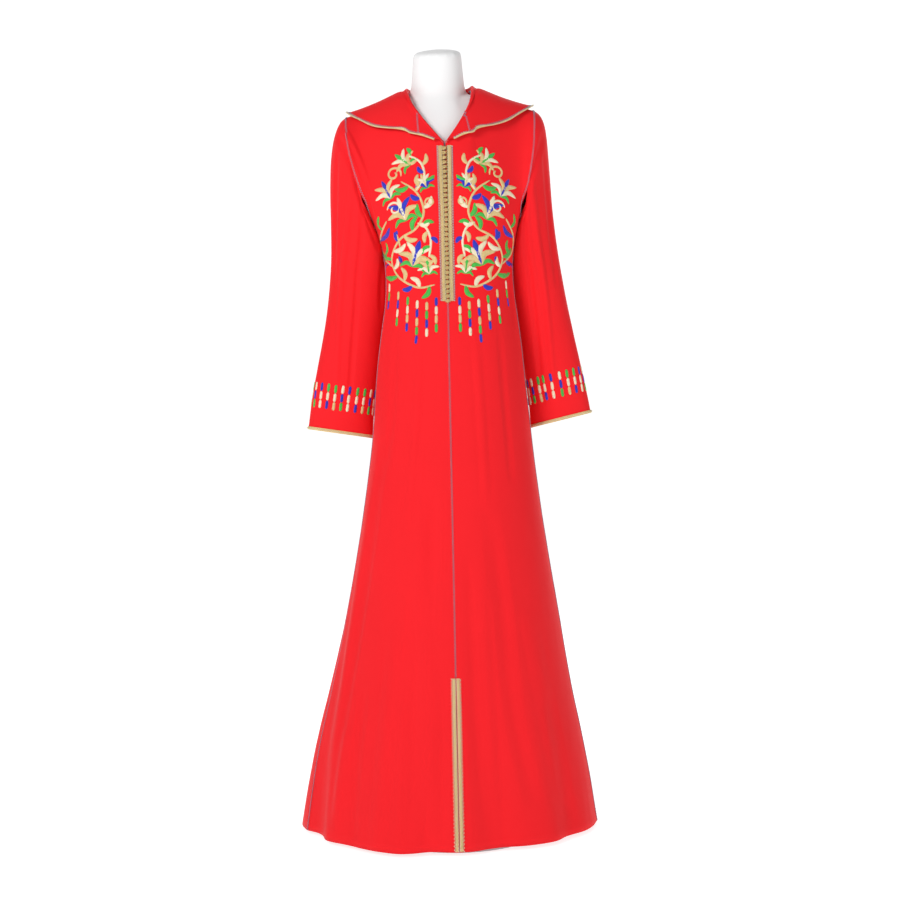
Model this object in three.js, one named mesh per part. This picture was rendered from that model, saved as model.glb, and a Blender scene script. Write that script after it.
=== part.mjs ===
// A red djellaba, a long hooded robe, on a limbless dress form with a pole and a round foot.
// Millimetres, +Z up, the front faces -Y, and left is the side at -X.
import * as THREE from "three";

// Cloth, seams and trims
const CLOTH = 1.4;
const SEAM_GAP = 0.3;
// Wider where the two edges run askew
const SKEW_GAP = 0.6;
const TRIM = 1.2;
const TRIM_AIR = 0.3;

// Heights
const HEM_Z = 8;
const ARMPIT_Z = 1190;
const V_POINT_Z = 1326;
const PLACKET_BOTTOM_Z = 1027;
const SLIT_TOP_Z = 325;

// Counts of rows and columns in the cloth walls
const SKIRT_ROWS = 16;
const CHEST_ROWS = 10;
const NECK_COLUMNS = 7;
const SHOULDER_COLUMNS = 8;
const SIDE_COLUMNS = NECK_COLUMNS + SHOULDER_COLUMNS;
const TOP_ROW = SKIRT_ROWS + CHEST_ROWS;
const SLEEVE_ROWS = 15;

// Share of a half panel that ends at the neck, the rest ends at the shoulder
const NECK_SHARE = 0.42;
// How fast chest and back round over to the shoulder
const SHOULDER_ROUND = 2.4;

// Names the columns of a table
function table(columns, values) {
  const names = columns.split(" ");
  return values.map((row) => Object.fromEntries(row.map((value, i) => [names[i], value])));
}

// Body below the armpit: half widths, depths before and behind the ring's centre, roundness of each half
const BODY = table("z left right front back centre frontPower backPower", [
  [8, 313, 275, 238, 190, 60, 1.8, 2.6],
  [85, 300, 265, 229, 184, 58, 1.8, 2.6],
  [162, 284, 251, 220, 176, 54, 1.85, 2.5],
  [260, 256, 230, 206, 166, 48, 1.9, 2.4],
  [376, 227, 212, 190, 154, 40, 1.95, 2.3],
  [455, 208, 200, 178, 144, 33, 2, 2.2],
  [550, 188, 184, 162, 134, 25, 2.1, 2.2],
  [650, 171, 171, 146, 124, 16, 2.2, 2.2],
  [770, 152, 158, 128, 114, 8, 2.2, 2.2],
  [880, 142, 147, 115, 106, 3, 2.2, 2.2],
  [960, 134, 141, 108, 97, 0, 2.2, 2.2],
  [1030, 120, 131, 97, 87, 0, 2.2, 2.2],
  [1090, 118, 124, 92, 82, 0, 2.2, 2.2],
  [1150, 124, 130, 99, 86, 0, 2.2, 2.2],
  [1190, 141, 142, 106, 92, 0, 2.2, 2.2],
]);

// Folds of the skirt: angle round the body from the front, spread, depth at the hem, height where it starts,
// and how far its angle has swung at that height
const FOLDS = table("angle spread depth top swing", [
  [-24, 11, 24, 620, 4],
  [-40, 9, 12, 560, 4],
  [-13, 5, -15, 430, 2],
  [-63, 6, 9, 700, -12],
  [-73, 7, -22, 720, -10],
  [-118, 13, 26, 760, 4],
  [20, 9, -17, 640, -8],
  [47, 6, 7, 560, -10],
  [57, 6, -10, 600, -16],
  [122, 13, 22, 700, 4],
  [-140, 8, -20, 640, 4],
  [-158, 8, 16, 700, 4],
  [-176, 8, -22, 620, 0],
  [162, 8, 18, 680, -4],
  [143, 8, -20, 600, -4],
]);

// Upper edge of each side: front neckline from the V point to the shoulder seam, x and z
const NECKLINE = {
  left: table("share x z", [
    [0, -1.5, 1326],
    [0.25, -24, 1350],
    [0.5, -45, 1377],
    [0.75, -63, 1407],
    [1, -72, 1447],
  ]),
  right: table("share x z", [
    [0, 1.5, 1326],
    [0.25, 21, 1351],
    [0.5, 38, 1379],
    [0.75, 51, 1408],
    [1, 56, 1450],
  ]),
};
const BACK_NECK = { x: -9, z: 1446 };
const SHOULDER_TIP = { left: { x: -191, z: 1401 }, right: { x: 175, z: 1407 } };
const SHOULDER_Y = 11;
// The chest and back would close at these heights if the neck were not cut out
const FRONT_CLOSE_Z = 1452;
const BACK_CLOSE_Z = 1500;

const ARMHOLE = { front: 52, back: 58 };
const BUST = { x: 70, z: 1232, spread: 46, depth: 8 };

// Sleeves from the armhole to the cuff: ends of each ring in the front view, depths, its centre and its bow
const SLEEVE = {
  left: table("share outerX outerZ innerX innerZ front back centre bow", [
    [0, -191, 1401, -141, 1190, 52, 58, 5, 12.5],
    [0.05, -205, 1393, -140, 1177, 55, 60, 8, 9],
    [0.11, -218, 1362, -132, 1158, 58, 62, 13, 5],
    [0.22, -227, 1300, -122, 1122, 58, 60, 24, 2],
    [0.35, -229, 1215, -116, 1082, 54, 56, 32, 0],
    [0.48, -229, 1130, -117, 1035, 50, 52, 36, 0],
    [0.62, -238, 1035, -126, 983, 45, 49, 38, 0],
    [0.76, -256, 940, -138, 908, 39, 45, 38, 0],
    [0.88, -271, 866, -148, 843, 34, 40, 38, 0],
    [1, -282, 794, -152, 773, 29, 34, 39, 0],
  ]),
  right: table("share outerX outerZ innerX innerZ front back centre bow", [
    [0, 175, 1407, 142, 1190, 52, 58, 5, 8],
    [0.05, 188, 1400, 142, 1177, 55, 60, 8, 7],
    [0.11, 198, 1378, 136, 1158, 58, 62, 13, 4],
    [0.22, 204, 1315, 131, 1122, 58, 60, 24, 2],
    [0.35, 209, 1228, 126, 1082, 54, 56, 32, 0],
    [0.48, 219, 1134, 129, 1035, 50, 52, 36, 0],
    [0.62, 234, 1040, 135, 985, 45, 49, 38, 0],
    [0.76, 254, 940, 144, 912, 39, 45, 38, 0],
    [0.88, 271, 860, 154, 848, 34, 40, 38, 0],
    [1, 279, 815, 157, 787, 29, 34, 39, 0],
  ]),
};

// Hood, laid back. Stations run from the V point over the shoulder to the middle of the back.
// station: 0 at the V point, 7 at the shoulder seam, 14 at the middle of the back. rise, roll: height and
// width of its roll over the neckline. fallU, fallW: where it lies lowest on the robe, as a share of the
// half panel and 0 to 1 up the front, 1 to 2 down the back. turn: how far it comes up again. stand: how
// far its rim stands off.
const HOOD = {
  left: table("station rise roll fallU fallW turn stand", [
    [0, 4, 5, 0.08, 0.76, 0, 7],
    [1.75, 8, 5, 0.28, 0.55, 0, 8],
    [3, 10, 6, 0.43, 0.455, 0, 9],
    [4, 12, 7, 0.57, 0.5, 0, 9],
    [5.3, 12, 8, 0.76, 0.6, 0, 9],
    [7, 14, 5.5, 0.96, 0.85, 0, 8],
    [8, 15, 6, 0.97, 1.05, 0, 14],
    [9, 16, 7, 0.92, 1.22, 0.05, 32],
    [10.5, 17, 8, 0.72, 1.5, 0.35, 38],
    [12.3, 18, 8, 0.38, 1.8, 0.76, 38],
    [14, 18, 8, 0, 1.93, 0.82, 42],
  ]),
  right: table("station rise roll fallU fallW turn stand", [
    [0, 4, 5, 0.08, 0.76, 0, 7],
    [1.75, 8, 5, 0.28, 0.545, 0, 8],
    [3, 10, 6, 0.43, 0.45, 0, 9],
    [4, 12, 7, 0.57, 0.495, 0, 9],
    [5.3, 12, 8, 0.76, 0.61, 0, 9],
    [7, 14, 5.5, 0.96, 0.87, 0, 8],
    [8, 15, 6, 0.97, 1.05, 0, 14],
    [9, 16, 7, 0.92, 1.22, 0.05, 32],
    [10.5, 17, 8, 0.72, 1.5, 0.35, 38],
    [12.3, 18, 8, 0.38, 1.8, 0.76, 38],
    [14, 18, 8, 0, 1.93, 0.82, 42],
  ]),
};
const HOOD_STEPS = 11;
const HOOD_GAP = 1;

// Trims
const HOOD_TRIM_WIDTH = 3.2;
const CUFF_TRIM_WIDTH = 6;
const BRAID = { inner: 0.6, outer: 10.5 };
const SLIT_BRAID = { inner: 1.2, outer: 10 };
const SLIT_GAP = 1;
const BUTTON = { count: 33, radius: 2.7, pitch: 9 };

// Dress form inside the robe: half widths from the middle, depths from the ring's centre
const FORM = table("z left right front back centre", [
  [655, 128, 130, 96, 96, 0],
  [760, 132, 138, 104, 98, 4],
  [880, 130, 134, 102, 94, 2],
  [1000, 110, 118, 84, 76, 0],
  [1090, 106, 112, 78, 70, 0],
  [1170, 116, 120, 86, 74, 0],
  [1240, 134, 128, 94, 74, 3],
  [1310, 145, 137, 92, 66, 6],
  [1360, 149, 141, 84, 58, 9],
  [1390, 148, 142, 70, 50, 10],
]);
// The form's shoulders follow the robe's shoulder seams: share of the seam from the neck, depths
const FORM_SHOULDER = table("share front back gap", [
  [0.5, 42, 31, 0.5],
  [0.32, 32, 24, 0.9],
  [0.16, 20, 16, 2.5],
]);
const FORM_NECK = table("z across front back centre", [
  [1390, 62, 64, 52, 10],
  [1425, 57, 56, 49, 10],
  [1441, 53, 53, 48, 9],
  [1475, 50.5, 50, 46, 6],
  [1500, 48, 47, 45, 3],
  [1522, 47, 46, 45, 0],
]);
const FORM_SIDES = 32;
const FORM_POWER = 2.2;
const NECK_X = -11;
const NECK_TOP = { slope: 0.3, rightRise: 0.03, dome: 5 };
const POLE_RADIUS = 14;
const FOOT = { radius: 150, height: 12, chamfer: 3 };

const RED = { color: 0xe5242a, roughness: 0.75 };
const GOLD = { color: 0xd8b877, roughness: 0.6 };
const WHITE = { color: 0xf4f3f1, roughness: 0.55 };
const STEEL = { color: 0xc9cbce, roughness: 0.35, metalness: 0.8 };

const { lerp, degToRad, clamp } = THREE.MathUtils;
const djellaba = new THREE.Group();

// Reads a table at a value of its first column, on a smooth curve through its rows
function along(rows, at) {
  const names = Object.keys(rows[0]);
  const key = names[0];
  const value = clamp(at, rows[0][key], rows[rows.length - 1][key]);
  const i = Math.min(rows.findLastIndex((row) => row[key] <= value), rows.length - 2);
  const gap = rows[i + 1][key] - rows[i][key];
  const t = (value - rows[i][key]) / gap;
  const slope = (name, k) => {
    const before = rows[Math.max(k - 1, 0)];
    const after = rows[Math.min(k + 1, rows.length - 1)];
    return (after[name] - before[name]) / (after[key] - before[key]);
  };
  const read = (name) =>
    (2 * t ** 3 - 3 * t ** 2 + 1) * rows[i][name] +
    (t ** 3 - 2 * t ** 2 + t) * gap * slope(name, i) +
    (3 * t ** 2 - 2 * t ** 3) * rows[i + 1][name] +
    (t ** 3 - t ** 2) * gap * slope(name, i + 1);
  return Object.fromEntries(names.map((name) => [name, read(name)]));
}

function add(name, geometry, finish) {
  const mesh = new THREE.Mesh(geometry, new THREE.MeshStandardMaterial(finish));
  mesh.name = name;
  djellaba.add(mesh);
}

// Normals of a grid of points, pointing to the left of the row direction seen along the column direction
function gridNormals(grid, closed = false) {
  const last = grid[0].length - 1;
  return grid.map((row, i) =>
    row.map((_, j) => {
      const before = closed ? (j + last) % (last + 1) : Math.max(j - 1, 0);
      const after = closed ? (j + 1) % (last + 1) : Math.min(j + 1, last);
      const across = row[after].clone().sub(row[before]);
      const up = grid[Math.min(i + 1, grid.length - 1)][j].clone().sub(grid[Math.max(i - 1, 0)][j]);
      return across.cross(up).normalize();
    }),
  );
}

// Turns a grid of outer points into a closed wall. Rows run up, columns run anticlockwise seen from above.
function wallGeometry(grid, normals, thickness, closed = false) {
  const rowCount = grid.length;
  const width = grid[0].length;
  const inner = grid.map((row, i) =>
    row.map((point, j) => point.clone().addScaledVector(normals[i][j], -thickness)),
  );
  const positions = [...grid.flat(), ...inner.flat()].flatMap((point) => point.toArray());
  const faces = [];
  const quad = (a, b, c, d) => faces.push(a, b, c, a, c, d);
  const out = (i, j) => i * width + (j % width);
  const back = (i, j) => rowCount * width + out(i, j);
  const spans = closed ? width : width - 1;
  for (let i = 0; i < rowCount - 1; i++)
    for (let j = 0; j < spans; j++) {
      quad(out(i, j), out(i, j + 1), out(i + 1, j + 1), out(i + 1, j));
      quad(back(i, j), back(i + 1, j), back(i + 1, j + 1), back(i, j + 1));
    }
  for (let j = 0; j < spans; j++) {
    quad(out(0, j + 1), out(0, j), back(0, j), back(0, j + 1));
    quad(out(rowCount - 1, j), out(rowCount - 1, j + 1), back(rowCount - 1, j + 1), back(rowCount - 1, j));
  }
  if (!closed)
    for (let i = 0; i < rowCount - 1; i++) {
      quad(out(i, 0), out(i + 1, 0), back(i + 1, 0), back(i, 0));
      quad(out(i + 1, width - 1), out(i, width - 1), back(i, width - 1), back(i + 1, width - 1));
    }
  const geometry = new THREE.BufferGeometry();
  geometry.setAttribute("position", new THREE.Float32BufferAttribute(positions, 3));
  geometry.setIndex(faces);
  return geometry;
}

// Moves the edge points of a grid inward by half a seam gap, or by the size given
function drawIn(grid, edges) {
  const last = grid[0].length - 1;
  const move = (point, towards, size) => {
    point.addScaledVector(towards.clone().sub(point).normalize(), size);
  };
  grid.forEach((row) => {
    if (edges.start) move(row[0], row[1], edges.start);
    if (edges.end) move(row[last], row[last - 1], edges.end);
  });
  if (edges.top) {
    grid[grid.length - 1].forEach((point, j) => move(point, grid[grid.length - 2][j], edges.top));
  }
}

// A closed solid through rings of equal length, with a flat or domed end at both sides
function loftGeometry(rings, endPoints) {
  const width = rings[0].length;
  const points = [...rings.flat(), ...endPoints];
  const faces = [];
  for (let i = 0; i < rings.length - 1; i++)
    for (let j = 0; j < width; j++) {
      const a = i * width + j;
      const b = i * width + ((j + 1) % width);
      faces.push(a, b, b + width, a, b + width, a + width);
    }
  for (let j = 0; j < width; j++) {
    const next = (j + 1) % width;
    const TOP_ROW = (rings.length - 1) * width;
    faces.push(points.length - 2, next, j);
    faces.push(points.length - 1, TOP_ROW + j, TOP_ROW + next);
  }
  const geometry = new THREE.BufferGeometry();
  const values = points.flatMap((point) => point.toArray());
  geometry.setAttribute("position", new THREE.Float32BufferAttribute(values, 3));
  geometry.setIndex(faces);
  return geometry;
}

// How far the skirt's folds move its wall at an angle, in degrees from the front
function foldDepth(angle, z) {
  return FOLDS.reduce((sum, fold) => {
    const rise = clamp((fold.top - z) / (fold.top - HEM_Z), 0, 1);
    const middle = fold.angle + fold.swing * (1 - rise);
    const away = (((angle - middle + 540) % 360) - 180) / fold.spread;
    return sum + fold.depth * rise ** 1.4 * Math.exp(-(away ** 2));
  }, 0);
}

// A point of the body below the armpit
function skirtPoint(angle, z) {
  const row = along(BODY, z);
  const sin = Math.sin(degToRad(angle));
  const cos = Math.cos(degToRad(angle));
  const across = sin < 0 ? row.left : row.right;
  const deep = cos > 0 ? row.front : row.back;
  const power = cos > 0 ? row.frontPower : row.backPower;
  const sum = (Math.abs(sin) / across) ** power + (Math.abs(cos) / deep) ** power;
  const radius = sum ** (-1 / power) + foldDepth(angle, z);
  const point = new THREE.Vector3(radius * sin, row.centre - radius * cos, z);
  if (cos > 0) point.y -= bustDepth(point);
  return point;
}

function bustDepth(point) {
  const x = (Math.abs(point.x) - BUST.x) / BUST.spread;
  const z = (point.z - BUST.z) / BUST.spread;
  return BUST.depth * Math.exp(-(x ** 2) - z ** 2);
}

// Angle of the side seam, nearer to the front at the hem
function seamAngle(side, z) {
  const swing = side === "left" ? 9 : 3;
  return 90 - swing * clamp((ARMPIT_Z - z) / (ARMPIT_Z - HEM_Z), 0, 1);
}

// Upper end of a column of the front or back half panel
function columnTop(side, half, u) {
  const tip = SHOULDER_TIP[side];
  const neck = along(NECKLINE[side], 1);
  if (u > NECK_SHARE) {
    const t = (u - NECK_SHARE) / (1 - NECK_SHARE);
    const z = lerp(neck.z, tip.z, t) - 5 * t * (1 - t);
    return { x: lerp(neck.x, tip.x, t), z, close: z };
  }
  const share = u / NECK_SHARE;
  if (half === "front") {
    const { x, z } = along(NECKLINE[side], share);
    return { x, z, close: lerp(FRONT_CLOSE_Z, neck.z, share ** 3) };
  }
  const x = lerp(BACK_NECK.x, neck.x, share ** 0.8);
  return { x, z: lerp(BACK_NECK.z, neck.z, share), close: lerp(BACK_CLOSE_Z, neck.z, share ** 3) };
}

// A point of the chest or back: u from its middle to the armhole, v from the armpit to the shoulder or neck
function chestPoint(side, half, u, v) {
  const sign = side === "left" ? -1 : 1;
  const start = skirtPoint(sign * (half === "front" ? 90 * u : 180 - 90 * u), ARMPIT_Z);
  const top = columnTop(side, half, u);
  const rise = Math.sin((v * Math.PI) / 2);
  const z = lerp(ARMPIT_Z, top.z, rise);
  const x = lerp(start.x, top.x, 1 - (1 - rise) ** 2);
  const closing = clamp((z - ARMPIT_Z) / (top.close - ARMPIT_Z), 0, 1);
  const left = (1 - closing ** SHOULDER_ROUND) ** (1 / SHOULDER_ROUND);
  const deep = half === "front" ? -ARMHOLE.front : ARMHOLE.back;
  const armhole = deep * u ** 7 * (4 * rise * (1 - rise)) ** 0.45;
  const point = new THREE.Vector3(x, start.y * left + SHOULDER_Y * (1 - left) + armhole, z);
  if (half === "front") point.y -= bustDepth(point) - bustDepth(start) * left;
  return point;
}

// Share of a half panel at each of its columns, with columns on both sides of the neck corner
function columnShare(j) {
  if (j <= NECK_COLUMNS) return (NECK_SHARE * j) / NECK_COLUMNS;
  return NECK_SHARE + ((1 - NECK_SHARE) * (j - NECK_COLUMNS)) / SHOULDER_COLUMNS;
}

// Half of the front or back, from its middle out to the side, hem to shoulder
function halfPanel(side, half) {
  const sign = side === "left" ? -1 : 1;
  const grid = [];
  for (let i = 0; i < SKIRT_ROWS; i++) {
    const z = lerp(HEM_Z, ARMPIT_Z, (i / SKIRT_ROWS) ** 0.9);
    const seam = seamAngle(side, z);
    const row = [];
    for (let j = 0; j <= SIDE_COLUMNS; j++) {
      const u = columnShare(j);
      row.push(skirtPoint(sign * (half === "front" ? seam * u : 180 - (180 - seam) * u), z));
    }
    grid.push(row);
  }
  for (let i = 0; i <= CHEST_ROWS; i++) {
    const row = [];
    for (let j = 0; j <= SIDE_COLUMNS; j++) {
      row.push(chestPoint(side, half, columnShare(j), i / CHEST_ROWS));
    }
    grid.push(row);
  }
  return grid;
}

const front = { left: halfPanel("left", "front"), right: halfPanel("right", "front") };
const back = { left: halfPanel("left", "back"), right: halfPanel("right", "back") };

// A ring of a sleeve: the armhole's own shape fades out down the sleeve
function sleeveRing(side, share) {
  const section = (row, rise, towards) => {
    const c = 2 * rise - 1;
    const s = Math.sqrt(Math.max(1 - c * c, 0));
    const deep = towards === "front" ? -row.front : row.back;
    const sign = side === "left" ? -1 : 1;
    return new THREE.Vector3(
      lerp(row.innerX, row.outerX, rise) + sign * row.bow * s * s,
      row.centre + deep * s ** 0.9,
      lerp(row.innerZ, row.outerZ, rise),
    );
  };
  const row = along(SLEEVE[side], share);
  const first = along(SLEEVE[side], 0);
  const fade = (1 - share) ** 6;
  const points = [];
  const place = (i, half, panel) => {
    const rise = Math.sin(((i / CHEST_ROWS) * Math.PI) / 2);
    const even = lerp(rise, (1 - Math.cos((i / CHEST_ROWS) * Math.PI)) / 2, 1 - fade);
    const armhole = panel[side][SKIRT_ROWS + i][SIDE_COLUMNS];
    const offset = armhole.clone().sub(section(first, rise, half));
    points.push(section(row, even, half).addScaledVector(offset, fade));
  };
  for (let i = 0; i <= CHEST_ROWS; i++) place(i, "front", front);
  for (let i = CHEST_ROWS - 1; i > 0; i--) place(i, "back", back);
  return points;
}

function sleeveGrid(side) {
  const grid = [];
  for (let i = 0; i <= SLEEVE_ROWS; i++) {
    const share = (i / SLEEVE_ROWS) ** 1.15;
    grid.push(sleeveRing(side, share));
  }
  return grid;
}

// A point of the robe's upper half: w from 0 to 1 up the front, from 1 to 2 down the back
function overShoulder(side, u, w) {
  return w <= 1 ? chestPoint(side, "front", u, w) : chestPoint(side, "back", u, 2 - w);
}

// Outward normal there
function overShoulderNormal(side, u, w) {
  const step = 0.004;
  const uLow = clamp(u, step, 1 - step);
  const across = overShoulder(side, uLow + step, w).sub(overShoulder(side, uLow - step, w));
  const up = overShoulder(side, uLow, w + step).sub(overShoulder(side, uLow, w - step));
  const normal = across.cross(up).normalize();
  return side === "left" ? normal.negate() : normal;
}

// One station of the hood: from the neckline up over its roll, down on the robe and, at the back, up again
function hoodPath(side, station) {
  const row = along(HOOD[side], station);
  const inFront = station <= NECK_COLUMNS;
  const column = inFront ? station : 2 * NECK_COLUMNS - station;
  const startU = columnShare(column);
  const startW = inFront ? 1 : 1.0001;
  const panel = inFront ? front[side] : back[side];
  const edge = panel[TOP_ROW][column];
  // The stand is square to the neckline. At both middles the line runs straight on.
  const corner = column === NECK_COLUMNS;
  const next = corner ? back[side][TOP_ROW][column - 1] : panel[TOP_ROW][column + 1];
  const before = panel[TOP_ROW][Math.max(column - 1, 0)];
  const line = next.clone().sub(before).setZ(0).normalize();
  const turn = (side === "left") === inFront ? 1 : -1;
  const outward = new THREE.Vector3(-line.y * turn, line.x * turn, 0);
  const away = (rise, lift) => {
    const point = edge.clone().addScaledVector(outward, lift);
    point.z += rise;
    return point;
  };
  const path = [
    away(HOOD_GAP, -CLOTH),
    away(row.rise * 0.6, -CLOTH),
    away(row.rise, row.roll * 0.35),
    away(row.rise * 0.7, row.roll),
  ];
  for (let k = 1; k <= HOOD_STEPS; k++) {
    const travel = (k / HOOD_STEPS) * (1 + row.turn);
    const place = travel > 1 ? 2 - travel : travel;
    const u = lerp(startU, row.fallU, place);
    const w = lerp(startW, row.fallW, place);
    const lift = lerp(row.roll, row.stand, (k / HOOD_STEPS) ** 2.5);
    path.push(overShoulder(side, u, w).addScaledVector(overShoulderNormal(side, u, w), lift));
  }
  return path;
}

// Rows of the hood run from its rim up to the neckline, columns from the V point round by the right
function hoodGrid() {
  const last = 2 * NECK_COLUMNS;
  const paths = [];
  for (let s = 0; s <= last; s++) paths.push(hoodPath("right", s));
  for (let s = last - 1; s >= 0; s--) paths.push(hoodPath("left", s));
  return paths[0].map((_, k) => paths.map((path) => path[path.length - 1 - k].clone()));
}

// Gives points that meet at a seam the same normal, so that both walls end alike. Where they fold back on
// each other, as under the arm, each keeps its own.
function meet(first, ...others) {
  const alike = [first, ...others.filter((normal) => normal.dot(first) > 0)];
  const sum = alike.reduce((total, normal) => total.add(normal), new THREE.Vector3()).normalize();
  alike.forEach((normal) => normal.copy(sum));
}

const reversedRows = (grid) => grid.map((row) => [...row].reverse());
const joined = (first, second) => first.map((row, i) => [...row, ...second[i].slice(1)]);

// Panels with their columns anticlockwise
const panels = {
  front_left: reversedRows(front.left),
  front_right: front.right,
  back: joined(reversedRows(back.right), back.left),
};
const sleeves = {
  left: sleeveGrid("left").reverse().map((row) => [...row].reverse()),
  right: sleeveGrid("right").reverse(),
};
const normals = {
  front_left: gridNormals(panels.front_left),
  front_right: gridNormals(panels.front_right),
  back: gridNormals(panels.back),
  left: gridNormals(sleeves.left, true),
  right: gridNormals(sleeves.right, true),
};

// Side seams, shoulder seams and armholes
const ringSize = 2 * CHEST_ROWS;
const frontNormal = (side, i, j) => normals["front_" + side][i][side === "left" ? SIDE_COLUMNS - j : j];
const backNormal = (side, i, j) => normals.back[i][side === "left" ? SIDE_COLUMNS + j : SIDE_COLUMNS - j];
for (const side of ["left", "right"]) {
  const frontAt = (i, j) => frontNormal(side, i, j);
  const backAt = (i, j) => backNormal(side, i, j);
  const ring = normals[side][SLEEVE_ROWS];
  const ringAt = (k) => ring[side === "left" ? ringSize - 1 - k : k];
  for (let i = 0; i < SKIRT_ROWS; i++) meet(frontAt(i, SIDE_COLUMNS), backAt(i, SIDE_COLUMNS));
  meet(frontAt(SKIRT_ROWS, SIDE_COLUMNS), backAt(SKIRT_ROWS, SIDE_COLUMNS), ringAt(0));
  for (let k = 1; k < CHEST_ROWS; k++) {
    meet(frontAt(SKIRT_ROWS + k, SIDE_COLUMNS), ringAt(k));
    meet(backAt(SKIRT_ROWS + k, SIDE_COLUMNS), ringAt(ringSize - k));
  }
  meet(frontAt(TOP_ROW, SIDE_COLUMNS), backAt(TOP_ROW, SIDE_COLUMNS), ringAt(CHEST_ROWS));
  for (let j = NECK_COLUMNS; j < SIDE_COLUMNS; j++) meet(frontAt(TOP_ROW, j), backAt(TOP_ROW, j));
}

const half = SEAM_GAP / 2;
drawIn(panels.front_left, { start: half, end: half, top: half });
drawIn(panels.front_right, { start: half, end: half, top: half });
drawIn(panels.back, { start: half, end: half, top: half });
drawIn(sleeves.left, { top: SEAM_GAP });
drawIn(sleeves.right, { top: SEAM_GAP });

// The slit stays a little open
for (let i = 0; panels.front_left[i][0].z < SLIT_TOP_Z; i++) {
  panels.front_left[i][SIDE_COLUMNS].x -= SLIT_GAP / 2;
  panels.front_right[i][0].x += SLIT_GAP / 2;
}

for (const name of ["front_left", "front_right", "back"]) {
  add(name, wallGeometry(panels[name], normals[name], CLOTH), RED);
}
add("sleeve_left", wallGeometry(sleeves.left, normals.left, CLOTH, true), RED);
add("sleeve_right", wallGeometry(sleeves.right, normals.right, CLOTH, true), RED);

const hood = hoodGrid();
const hoodNormals = gridNormals(hood);
add("hood", wallGeometry(hood, hoodNormals, CLOTH), RED);

// A trim along the first row of a wall, made of that row's points: near and far say how far up the wall it
// reaches, lift how far it stands off, and negative sizes lie beyond the wall's edge
function edgeTrim(name, grid, gridNormal, { far, near, lift }, closed) {
  const last = grid[0].length - 1;
  const rows = [far, near].map((size) =>
    grid[0].map((point, j) => {
      const before = closed ? (j + last) % (last + 1) : Math.max(j - 1, 0);
      const after = closed ? (j + 1) % (last + 1) : Math.min(j + 1, last);
      const edge = grid[0][after].clone().sub(grid[0][before]);
      const inward = gridNormal[0][j].clone().cross(edge).normalize();
      return point.clone().addScaledVector(inward, size).addScaledVector(gridNormal[0][j], lift);
    }),
  );
  add(name, wallGeometry(rows, [gridNormal[0], gridNormal[0]], TRIM, closed), GOLD);
}

const cuffTrim = { far: 0, near: CUFF_TRIM_WIDTH, lift: TRIM_AIR + TRIM };
edgeTrim("cuff_trim_left", sleeves.left, normals.left, cuffTrim, true);
edgeTrim("cuff_trim_right", sleeves.right, normals.right, cuffTrim, true);
const rimTrim = { far: -HOOD_TRIM_WIDTH, near: -SKEW_GAP, lift: 0 };
edgeTrim("hood_trim", hood, hoodNormals, rimTrim, false);

// A point of a front panel's mesh at x and z, with its normal
function onFront(side, x, z) {
  const grid = panels["front_" + side];
  const gridNormal = normals["front_" + side];
  const onRow = (i) => {
    const row = grid[i];
    const j = clamp(row.findLastIndex((point) => point.x <= x), 0, row.length - 2);
    const t = (x - row[j].x) / (row[j + 1].x - row[j].x);
    return [row[j].clone().lerp(row[j + 1], t), gridNormal[i][j].clone().lerp(gridNormal[i][j + 1], t)];
  };
  let i = 0;
  while (i < TOP_ROW - 1 && onRow(i + 1)[0].z <= z) i++;
  const [low, lowNormal] = onRow(i);
  const [high, highNormal] = onRow(i + 1);
  const t = (z - low.z) / (high.z - low.z);
  return { point: low.lerp(high, t), normal: lowNormal.lerp(highNormal, t).normalize() };
}

// A braid beside the middle of the front, from one height to another
function braid(name, side, { inner, outer }, bottom, top) {
  const sign = side === "left" ? -1 : 1;
  const middle = front[side].map((row) => row[0].z);
  const heights = [bottom, ...middle.filter((z) => z > bottom + 8 && z < top - 8), top];
  const across = side === "left" ? [outer, inner] : [inner, outer];
  const samples = heights.map((z) => across.map((x) => onFront(side, sign * x, z)));
  const rows = samples.map((row) =>
    row.map(({ point, normal }) => point.addScaledVector(normal, TRIM_AIR + TRIM)),
  );
  add(name, wallGeometry(rows, samples.map((row) => row.map(({ normal }) => normal)), TRIM), GOLD);
}

for (const side of ["left", "right"]) {
  braid("placket_braid_" + side, side, BRAID, PLACKET_BOTTOM_Z, V_POINT_Z - 5);
  braid("slit_braid_" + side, side, SLIT_BRAID, HEM_Z + 0.5, SLIT_TOP_Z);
}

// Knotted buttons on the braids' inner edges
for (let k = 0; k < BUTTON.count; k++) {
  const z = V_POINT_Z - 10 - BUTTON.pitch * k;
  const { point, normal } = onFront("right", BRAID.inner, z);
  const lift = 2 * TRIM_AIR + TRIM + BUTTON.radius;
  const geometry = new THREE.SphereGeometry(BUTTON.radius, 7, 5);
  const centre = point.addScaledVector(normal, lift);
  geometry.translate(0, centre.y, centre.z);
  add("button_" + String(k + 1).padStart(2, "0"), geometry, GOLD);
}

// The dress form's rings: shoulders that carry the robe, and the neck that rises out of them
function formRing(centre, sides, neck, heightAt) {
  const ring = [];
  for (let k = 0; k < FORM_SIDES; k++) {
    const angle = (2 * Math.PI * k) / FORM_SIDES;
    const sin = Math.sin(angle);
    const cos = Math.cos(angle);
    const radiusOf = (shape) => {
      const across = sin < 0 ? shape.left : shape.right;
      const deep = cos > 0 ? shape.front : shape.back;
      const sum = (Math.abs(sin) / across) ** FORM_POWER + (Math.abs(cos) / deep) ** FORM_POWER;
      return sum ** (-1 / FORM_POWER);
    };
    const radius = Math.max(sides ? radiusOf(sides) : 0, neck ? radiusOf(neck) : 0);
    const x = centre.x + radius * sin;
    const y = centre.y - radius * cos;
    ring.push(new THREE.Vector3(x, y, heightAt(x, y)));
  }
  return ring;
}

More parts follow.
